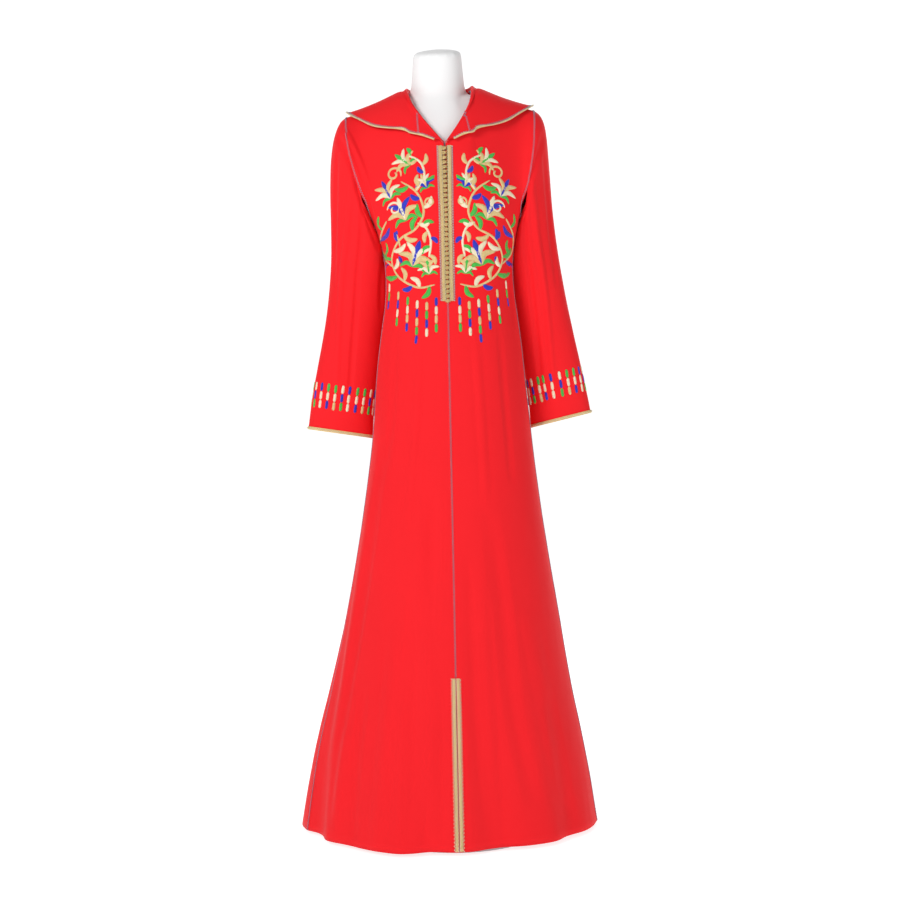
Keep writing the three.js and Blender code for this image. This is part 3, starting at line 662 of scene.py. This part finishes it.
def lay(bm, path, width, names, shape=even, dome=SILK_DOME, slant=0.0):
    """Lays a domed strip of silk on the cloth along a path, with its two edges just in the cloth. Its UV map
    runs along and across it, in metres."""
    steps = len(path) - 1
    length = run_length(path)
    places = frames(path, names)
    made = bmesh.ops.create_grid(bm, x_segments=steps, y_segments=ACROSS, size=0.5)["verts"]
    uv = bm.loops.layers.uv.verify()
    uv_place = {}
    for vert in made:
        t = min(max(vert.co.x + 0.5, 0), 1)
        v = min(max(vert.co.y * 2, -1), 1)
        place, side, _ = places[min(steps, round(t * steps))]
        wide = width / 2 * shape(t)
        spot, normal = touch(names, place + side * v * wide)
        vert.co = spot + normal * (SILK_BASE * (1 - 1.4 * v**4) + dome * (1 - v * v) * shape(t))
        uv_place[vert] = (t * length + abs(v) * wide * slant, v * wide)
    for face in {face for vert in made for face in vert.link_faces}:
        for loop in face.loops:
            loop[uv].uv = uv_place[loop.vert]


def silk_piece(name, bm, material, stands_for=()):
    """Closes laid strips into a piece with a thin wall"""
    bmesh.ops.remove_doubles(bm, verts=bm.verts, dist=SILK_WELD)
    for face in bm.faces:
        if face.calc_area() > 0 and face.normal.dot(touch(tuple(surface), face.calc_center_median())[1]) < 0:
            face.normal_flip()
    mesh = bpy.data.meshes.new(name)
    bm.to_mesh(mesh)
    print(name, "faces", len(bm.faces))
    bm.free()
    add_wall(keep(name, mesh, material, stands_for), SILK_WALL)


# %% [markdown]
# ## Braid
# Sfifa is a flat braid of silk cord, woven on the fingers and sewn edge to edge along the opening. Here a
# thin ribbon is its ground, and plaited cords run over it. The ribbon is a dark gold, painted shade for the
# gaps between the cords. Each cord swings from side to side and rises where it crosses another. A cream
# zigzag edges it.

# %% Braid maker
STRANDS, STRAND_RISE = 3, 0.45 * MM


def plait(path, names, swing, pitch, lift):
    """The runs of a flat plait along a path"""
    places = frames(path, names)
    length = np.cumsum([0] + [(b - a).length for a, b in zip(path, path[1:])])
    runs = []
    for k in range(STRANDS):
        run = []
        for (place, side, normal), s in zip(places, length):
            turn = math.tau * (s / pitch + k / STRANDS)
            height = lift + STRAND_RISE * math.sin(2 * turn)
            run.append(place + side * (swing * math.sin(turn)) + normal * height)
        runs.append(run)
    return runs


def zigzag(path, names, offset, swing, lift):
    """The run of a thread that goes from side to side at each point of the path"""
    return [
        place + side * (offset + (swing if k % 2 else -swing)) + normal * lift
        for k, (place, side, normal) in enumerate(frames(path, names))
    ]


# %% Braids of the placket and of the slit
PLACKET_TOP, PLACKET_FOOT, SLIT_TOP, SLIT_FOOT = 1.322, 1.027, 0.325, 0.009  # heights, in metres
# The braid's middle from the centre edge, its width, and the length of a tooth of its edging
PLACKET_BRAID = (7.2 * MM, 6.2 * MM, 2.4 * MM)
SLIT_BRAID = (3.7 * MM, 5.6 * MM, 3.4 * MM)
EDGE_GAP = 0.6 * MM  # the braid's ground ends this far from the centre edge
GROUND_DOME = 0.5 * MM
PLAIT_TURN, PLAIT_LIFT, PLAIT_CORD, PLAIT_MARGIN = 9 * MM, 1.2 * MM, 1.0 * MM, 1.2 * MM
# Zigzags at the braid's edges: how far past the edge, swing and lift
OUTER_EDGING = (0.4 * MM, 2.0 * MM, 1.3 * MM)
INNER_EDGING = (-0.3 * MM, 0.9 * MM, 1.1 * MM)
BESIDE = (2.6 * MM, 0.7 * MM, 0.4 * MM)
EDGING_CORD = 0.8 * MM
edge_threads = []


def between(run, top, foot):
    """The part of a downward run between two heights"""
    fine = smooth_run(run, 1.5 * MM)
    return [point for point in fine if foot <= point.z <= top]


def braid(label, name, cad_node, top, foot, away, width, tooth):
    """A braid along a front's centre edge, with cream zigzag edging. Returns a run for a thread beside it"""
    inward = 1 if name == "front_right" else -1
    run = between(centre_edge[name], top, foot)
    names = (name,)
    sides = frames(run, names)
    outward = math.copysign(1, sides[len(sides) // 2][1].x * inward)
    middle = [place + side * outward * away for place, side, _ in sides]
    reach = away + width / 2
    ground = [place + side * outward * (reach + EDGE_GAP) / 2 for place, side, _ in sides]
    bm = bmesh.new()
    # The ground's dark gold is painted shade between the plait's cords.
    lay(bm, ground[::3], reach - EDGE_GAP, names, dome=GROUND_DOME)
    silk_piece(label + "_ground", bm, gold_ground, [cad_node])
    runs = plait(middle, names, width / 2 - PLAIT_MARGIN, PLAIT_TURN, PLAIT_LIFT)
    cords(label + "_plait", runs, PLAIT_CORD, gold_silk)
    points = smooth_run(middle, tooth)

    def beside(way, past, swing, lift):
        return zigzag(points, names, way * (width / 2 + past), swing, lift)

    edging = [beside(outward, *OUTER_EDGING), beside(-outward, *INNER_EDGING)]
    cords(label + "_edging", edging, EDGING_CORD, cream_silk)
    return beside(outward, *BESIDE)


for side in ("left", "right"):
    front = "front_" + side
    placket = ("placket_" + side, front, "placket_braid_" + side, PLACKET_TOP, PLACKET_FOOT)
    edge_threads.append(braid(*placket, *PLACKET_BRAID))
    braid("slit_" + side, front, "slit_braid_" + side, SLIT_TOP, SLIT_FOOT, *SLIT_BRAID)

# %% [markdown]
# ## Knotted buttons
# Each button is a small ball knotted from cord, and a loop from the other edge holds it. A cord that goes
# twice round a ring, and winds about it three times on the way, gives such a ball. One row of them closes the
# chest.

# %% Buttons and loops
KNOT_RADIUS, KNOT_CORD, KNOT_LIFT = 2.0 * MM, 1.1 * MM, 3.0 * MM
KNOT_SWELL, KNOT_DEPTH, KNOT_STEPS = 0.45, 0.55, 40  # the first two are shares of the radius
LOOP_END, LOOP_REACH, LOOP_DEPTH, LOOP_HEIGHT = 5.2 * MM, 3.4 * MM, 0.4 * MM, 1.9 * MM
LOOP_CORD, LOOP_STEPS = 0.6 * MM, 6
buttons = sorted(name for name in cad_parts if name.startswith("button_"))
knots, loops = [], []
for name in buttons:
    low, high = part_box(name)
    place, normal = touch(("front_left", "front_right"), (Vector(low) + Vector(high)) / 2)
    centre = place + normal * KNOT_LIFT
    run = []
    for k in range(KNOT_STEPS):
        turn = math.tau * k / KNOT_STEPS
        reach = KNOT_RADIUS * (1 + KNOT_SWELL * math.cos(3 * turn))
        deep = -KNOT_RADIUS * KNOT_DEPTH * math.sin(3 * turn)
        run.append(centre + Vector((reach * math.cos(2 * turn), deep, reach * math.sin(2 * turn))))
    knots.append(run)
    for side in (-1, 1):
        arc = []
        for k in range(LOOP_STEPS + 1):
            turn = math.pi * k / LOOP_STEPS
            out = LOOP_END - LOOP_REACH * math.sin(turn)
            arc.append(centre + Vector((side * out, LOOP_DEPTH, LOOP_HEIGHT * math.cos(turn))))
        loops.append(arc)
cords("button_knots", knots, KNOT_CORD, gold_knot, closed=True, stands_for=buttons)
cords("button_loops", loops, LOOP_CORD, gold_knot)

# %% [markdown]
# ## Seams
# Randa is needle lace in silk thread. A fine one in lilac grey covers the seam down the front, the side
# seams, the armholes, the hood's rim and its two short neck seams, and the edge above each cuff.

# %% Seam stitching
STITCH, STITCH_SWING, STITCH_LIFT, STITCH_RADIUS = 2.6 * MM, 1.7 * MM, 0.45 * MM, 0.65 * MM
RIM_SWING = 1.5 * MM
ARMHOLE_END = 10  # a side edge runs along the armhole as far as this point
CUFF_SEAM = Vector((0, 0, 3)) * MM  # how far the seam lies above the sleeve's lower edge
NECK_SEAMS = [[(417, 113), (417.5, 123), (418.5, 133)], [(465, 110), (467, 120), (469.5, 130)]]  # pixels
seams = []


def stitch_along(run, names, swing=STITCH_SWING):
    seams.append(zigzag(smooth_run(run, STITCH), names, 0, swing, STITCH_LIFT))


fronts = ("front_left", "front_right")
stitch_along(between(centre_edge["front_left"], PLACKET_FOOT, SLIT_TOP)[::4], fronts)
for name in fronts:
    sleeve = name.replace("front", "sleeve")
    edge = side_edge[name]
    stitch_along(edge[:ARMHOLE_END + 1], (name, sleeve, "back"))
    stitch_along(edge[ARMHOLE_END:], (name, "back"))
for name, run in cuff_edge.items():
    stitch_along([point + CUFF_SEAM for point in run], (name,))
stitch_along(hood_rim, ("hood",), swing=RIM_SWING)
for pixels in NECK_SEAMS:
    line = []
    for px, py in rounded_path(pixels, 3):
        x, z = seen(px, py)
        aim = Vector((x, CHEST_PLANE, z)) * MM - EYE
        line.append(surface["hood"].ray_cast(EYE, aim.normalized())[0])
    stitch_along([place for place in line if place], ("hood",))
seams.extend(edge_threads)
cords("seam_stitches", seams, STITCH_RADIUS, lilac_silk, sides=0)


# %% [markdown]
# ## Hood and cuff trim
# A narrow gold braid finishes the rim of the hood and both cuffs. The CAD trim gives its place. Its sheet is
# smoothed, and three plaited cords with a cream zigzag over them give it a braid's round ridges.

# %% Trims
TRIM_WALL = 1.2 * MM
TRIM_PITCH = 1.0 * MM
TRIM_PLAIT, TRIM_CORD = (0.7 * MM, 6 * MM, 0.1 * MM), 0.6 * MM  # swing, length of a turn and lift
TRIM_TOOTH, TRIM_EDGING, TRIM_EDGING_CORD = 2.4 * MM, (1.2 * MM, 0.7 * MM), 0.5 * MM  # edging: swing and lift


def trim(name):
    """The narrow braid that the CAD trim of this name stands for"""
    bm = outer_layer(name, TRIM_WALL)
    near, far = sorted(edge_chains(bm), key=run_length, reverse=True)[:2]
    middle = [(point + min(far, key=lambda other: (other - point).length)) / 2 for point in near]
    mesh = bpy.data.meshes.new(name + "_ground")
    bm.to_mesh(mesh)
    bm.free()
    ground = keep(name + "_ground", mesh, gold_silk, [name])
    add_smoothing(ground, 2)
    add_wall(ground, TRIM_WALL)
    surface[name] = BVHTree.FromPolygons([v.co for v in mesh.vertices], [p.vertices for p in mesh.polygons])
    runs = plait(smooth_run(middle, TRIM_PITCH), (name,), *TRIM_PLAIT)
    cords(name + "_plait", runs, TRIM_CORD, gold_silk)
    over = zigzag(smooth_run(middle, TRIM_TOOTH), (name,), 0, *TRIM_EDGING)
    cords(name + "_edging", [over], TRIM_EDGING_CORD, cream_silk)
    del surface[name]


for name in ("hood_trim", "cuff_trim_left", "cuff_trim_right"):
    trim(name)

# %% [markdown]
# ## Bars above the cuffs
# Short bars of satin stitch stand side by side round each sleeve. Each has three parts in different silks,
# and four kinds of bar repeat. They lean with the sleeve's grain.

# %% Cuff bars
BAR_PITCH, BAR_LENGTH, BAR_WIDTH, BAR_FOOT = 13.7 * MM, 51 * MM, 6.4 * MM, 44 * MM
BAR_KINDS = [
    ("blue", "cream", "cream"),
    ("cream", "blue", "green"),
    ("green", "cream", "gold"),
    ("green", "cream", "blue"),
]
BAR_LEAN = math.radians(9)
PART_GAP, PART_STEPS = 0.6 * MM, 6  # the gap between the parts of a bar
silk = {colour: bmesh.new() for colour in SILK}


def bar(top, down, length, width, colours, names):
    """A bar of satin stitch from its top down, in equal parts"""
    part = length / len(colours)
    for k, colour in enumerate(colours):
        start = top + down * (k * part + PART_GAP / 2)
        path = [start + down * (part - PART_GAP) * step / PART_STEPS for step in range(PART_STEPS + 1)]
        lay(silk[colour], path, width, names, shape=rounded_ends)


for name, lean in (("sleeve_left", -1), ("sleeve_right", 1)):
    ring = smooth_run(cuff_edge[name], BAR_PITCH)
    grain = Vector((math.sin(BAR_LEAN) * lean, 0, -math.cos(BAR_LEAN)))
    for k, point in enumerate(ring[:-1]):
        top = touch((name,), point - grain * (BAR_FOOT + BAR_LENGTH))[0]
        bar(top, grain, BAR_LENGTH, BAR_WIDTH, BAR_KINDS[k % len(BAR_KINDS)], (name,))

# %% [markdown]
# ## Chest embroidery
# The chest is worked in satin stitch: a vine of silk on each side of the placket, with leaves, tulips and
# columns of hanging bars. The design is drawn in millimetres from the robe's middle and from the floor, and
# mirrored.

# %% Drawing on the chest
FROM_FRONT = Vector((0, 1, 0))
AHEAD = -1  # the y, in metres, that looks at the chest start from
LEAF_LEAN = 42  # a leaf's angle to its stem, in degrees
CURL_SHRINK = 0.75  # the share of its radius that a curl loses


def on_chest(side, u, z):
    """The place on the front at u mm from the middle and z mm above the floor. side is -1 or 1."""
    name = "front_left" if side < 0 else "front_right"
    hit = surface[name].ray_cast(Vector((side * u * MM, AHEAD, z * MM)), FROM_FRONT)
    return hit[0] if hit[0] else touch((name,), Vector((side * u, CHEST_PLANE, z)) * MM)[0]


def draw(side, points, width, colour, shape=leaf_shape, steps=6, slant=0.0):
    """Satin stitch along points (u, z) on one side of the chest"""
    path = rounded_path(points, steps)
    name = "front_left" if side < 0 else "front_right"
    lay(silk[colour], [on_chest(side, u, z) for u, z in path], width * MM, (name,), shape=shape, slant=slant)


def leaf(side, u, z, angle, length, width, colour, bend=0.18):
    """A leaf from its foot, at an angle in degrees from the outward line"""
    a = math.radians(angle)
    tip = (u + length * math.cos(a), z + length * math.sin(a))
    middle = (u + length * 0.5 * math.cos(a) - bend * length * math.sin(a),
              z + length * 0.5 * math.sin(a) + bend * length * math.cos(a))
    draw(side, [(u, z), middle, tip], width, colour, steps=4, slant=0.6)


def tulip(side, u, z, angle, size, petals=("gold", "cream", "blue")):
    """Three pairs of petals round a middle one, on two sepals"""
    outer, inner, heart = petals
    for turn, reach, wide, colour, bend in ((62, 0.75, 0.26, outer, 0.3), (30, 0.95, 0.28, inner, 0.22)):
        leaf(side, u, z, angle + turn, size * reach, size * wide, colour, -bend)
        leaf(side, u, z, angle - turn, size * reach, size * wide, colour, bend)
    leaf(side, u, z, angle, size, size * 0.3, heart, 0)
    leaf(side, u, z, angle + 100, size * 0.5, size * 0.18, "green", -0.3)
    leaf(side, u, z, angle - 100, size * 0.5, size * 0.18, "green", 0.3)


def curl(side, u, z, radius, start, turns, colour, width=5):
    """A stem that winds inwards round a point"""
    steps = 12
    points = []
    for k in range(steps + 1):
        a = math.radians(start) + math.tau * turns * k / steps
        reach = radius * (1 - CURL_SHRINK * k / steps)
        points.append((u + reach * math.cos(a), z + reach * math.sin(a)))
    draw(side, points, width, colour, shape=rounded_ends, steps=2)


def leafy_stem(side, points, colour, leaves, every=17, length=27, width=11, stem=5):
    """A stem with leaves that alternate between its two sides"""
    draw(side, points, stem, colour, shape=rounded_ends)
    path = rounded_path(points, 10)
    lengths = np.cumsum([0] + [np.linalg.norm(b - a) for a, b in zip(path, path[1:])])
    for k, s in enumerate(np.arange(every * 0.6, lengths[-1] - 4, every)):
        at = int(np.searchsorted(lengths, s))
        ahead = path[min(at + 1, len(path) - 1)] - path[at - 1]
        angle = math.degrees(math.atan2(ahead[1], ahead[0])) + (LEAF_LEAN if k % 2 else -LEAF_LEAN)
        leaf(side, *path[at], angle, length * (1 - 0.25 * (k % 3 == 2)), width, leaves[k % len(leaves)],
             0.2 if k % 2 else -0.2)


def hanging_bars(side, u, top, colours):
    """A column of short bars of satin stitch, one under another"""
    name = "front_left" if side < 0 else "front_right"
    silks = [BEADS[letter] for letter in colours]
    bar(on_chest(side, u, top), Vector((0, 0, -1)), BEAD * len(silks), BAR_WIDTH, silks, (name,))


# %% The design
# Places are (u, z): mm from the robe's middle and mm above the floor. The letters of a column are its silks
# from the top down, and BEAD is the length of each.
BEAD = 17 * MM
BEADS = {"g": "gold", "c": "cream", "e": "green", "b": "blue"}
VINE = [
    (24, 1060), (56, 1056), (92, 1078), (106, 1114), (90, 1148), (58, 1166), (42, 1196), (54, 1232),
    (84, 1256),
]
BRANCH_OUT = [(104, 1100), (124, 1124), (128, 1158), (114, 1186)]
BRANCH_TOP = [(56, 1236), (40, 1262), (46, 1290), (70, 1306)]
BRANCH_IN = [(54, 1176), (38, 1166), (30, 1142), (34, 1112)]
COLUMNS = [
    (22, 1036, "bcge"), (40, 1028, "gebc"), (58, 1032, "cbgeb"), (76, 1040, "ecgb"), (94, 1052, "gbce"),
    (112, 1070, "ceb"),
]

for side in (-1, 1):
    leafy_stem(side, BRANCH_OUT, "gold", ["blue", "green", "blue"])
    leafy_stem(side, BRANCH_IN, "cream", ["green", "gold", "blue"], every=15, length=22, width=9.5)
    leafy_stem(side, BRANCH_TOP, "cream", ["gold", "green", "blue", "gold"], every=15, length=23, width=9.5)
    leafy_stem(side, VINE, "gold", ["green", "cream", "blue", "gold", "green", "cream"])
    curl(side, 98, 1272, 15, 200, -1.2, "gold")
    curl(side, 98, 1206, 14, 0, 1.2, "cream")
    curl(side, 30, 1214, 10, -60, 1.2, "gold", width=4)
    tulip(side, 66, 1096, 108, 50)
    tulip(side, 76, 1182, 70, 47, ("gold", "blue", "cream"))
    tulip(side, 34, 1080, 82, 32, ("cream", "gold", "green"))
    tulip(side, 104, 1226, 64, 40, ("cream", "gold", "blue"))
    tulip(side, 66, 1286, 40, 38, ("gold", "cream", "green"))
    tulip(side, 35, 1240, 68, 30, ("blue", "cream", "gold"))
    for u, top, colours in COLUMNS:
        hanging_bars(side, u, top, colours)

for colour, bm in silk.items():
    silk_piece("embroidery_" + colour, bm, SILK[colour])

# %% [markdown]
# ## Dress form
# The robe is shown on a limbless dress form. Only its neck can be seen. The CAD form is smoothed by
# subdivision, which keeps it just inside the robe.

# %% Dress form
bm = bmesh.new()
bm.from_mesh(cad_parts["form_torso"].data)
bmesh.ops.remove_doubles(bm, verts=bm.verts, dist=WELD)
bmesh.ops.join_triangles(bm, faces=bm.faces, angle_face_threshold=0.6, angle_shape_threshold=math.pi)
mesh = bpy.data.meshes.new("form_body")
bm.to_mesh(mesh)
print("form faces", len(bm.faces))
bm.free()
mesh = baked(mesh, 2)
# Subdivision draws the neck's top in, so the neck is stretched back to its height.
NECK_FOOT, NECK_TOP = 1.45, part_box("form_torso")[1][2]
drawn_top = max(vert.co.z for vert in mesh.vertices)
for vert in mesh.vertices:
    if vert.co.z > NECK_FOOT:
        vert.co.z = NECK_FOOT + (vert.co.z - NECK_FOOT) * (NECK_TOP - NECK_FOOT) / (drawn_top - NECK_FOOT)
keep("form_body", mesh, form_white, ["form_torso"])
for name in ("form_pole", "form_base"):
    node_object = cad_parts[name]
    node_object.data.materials.clear()
    node_object.data.materials.append(brushed_steel)

# %% [markdown]
# ## Cut of the cloth
# The panels are cut on straight grain and flare to the hem. The sleeves are flat tubes when cut, and the
# hood is one folded length.

# %% [markdown]
# ## Floor and light
# The photograph has a plain white ground and even light. A white sweep, which runs from the floor up a wall
# behind the robe and glows a little, a pale sky and three large soft lights give the same calm shading, a
# little stronger from the front left.

# %% Studio
SWEEP = [(-7, 0), (5, 0), (6.2, 0.2), (7.2, 0.8), (7.8, 1.8), (8, 3.2), (8, 9)]  # y and z, in metres
bm = bmesh.new()
rows = [[bm.verts.new((x, y, z)) for x in (-9, 9)] for y, z in SWEEP]
for near, far in zip(rows, rows[1:]):
    bm.faces.new((near[0], near[1], far[1], far[0]))
mesh = bpy.data.meshes.new("sweep")
bm.to_mesh(mesh)
bm.free()
mesh.polygons.foreach_set("use_smooth", [True] * len(mesh.polygons))
sweep = bpy.data.objects.new("sweep", mesh)
bpy.context.scene.collection.objects.link(sweep)
sweep_paint = bpy.data.materials.new("sweep_paint")
sweep_paint.use_nodes = True
paint = sweep_paint.node_tree.nodes["Principled BSDF"]
paint.inputs["Base Color"].default_value = (0.5, 0.5, 0.5, 1)
paint.inputs["Roughness"].default_value = 0.9
paint.inputs["Emission Color"].default_value = (1, 1, 1, 1)
paint.inputs["Emission Strength"].default_value = 0.8
mesh.materials.append(sweep_paint)

bpy.context.scene.view_settings.view_transform = "Standard"
world = bpy.data.worlds.new("studio")
world.use_nodes = True
world.node_tree.nodes["Background"].inputs["Color"].default_value = (1, 1, 1, 1)
world.node_tree.nodes["Background"].inputs["Strength"].default_value = 0.26
bpy.context.scene.world = world


def soft_light(name, place, size, power):
    """An area light that faces the robe's middle"""
    data = bpy.data.lights.new(name, "AREA")
    data.size = size
    data.energy = power
    light = bpy.data.objects.new(name, data)
    light.location = place
    aim = Vector((0, 0, 0.8)) - Vector(place)
    light.rotation_euler = aim.to_track_quat("-Z", "Y").to_euler()
    bpy.context.scene.collection.objects.link(light)


soft_light("key", (-2.1, -2.8, 2.5), 1.2, 84)
soft_light("fill", (2.6, -2.6, 1.4), 2.5, 30)
soft_light("back", (0.5, 3.0, 2.8), 2.5, 60)
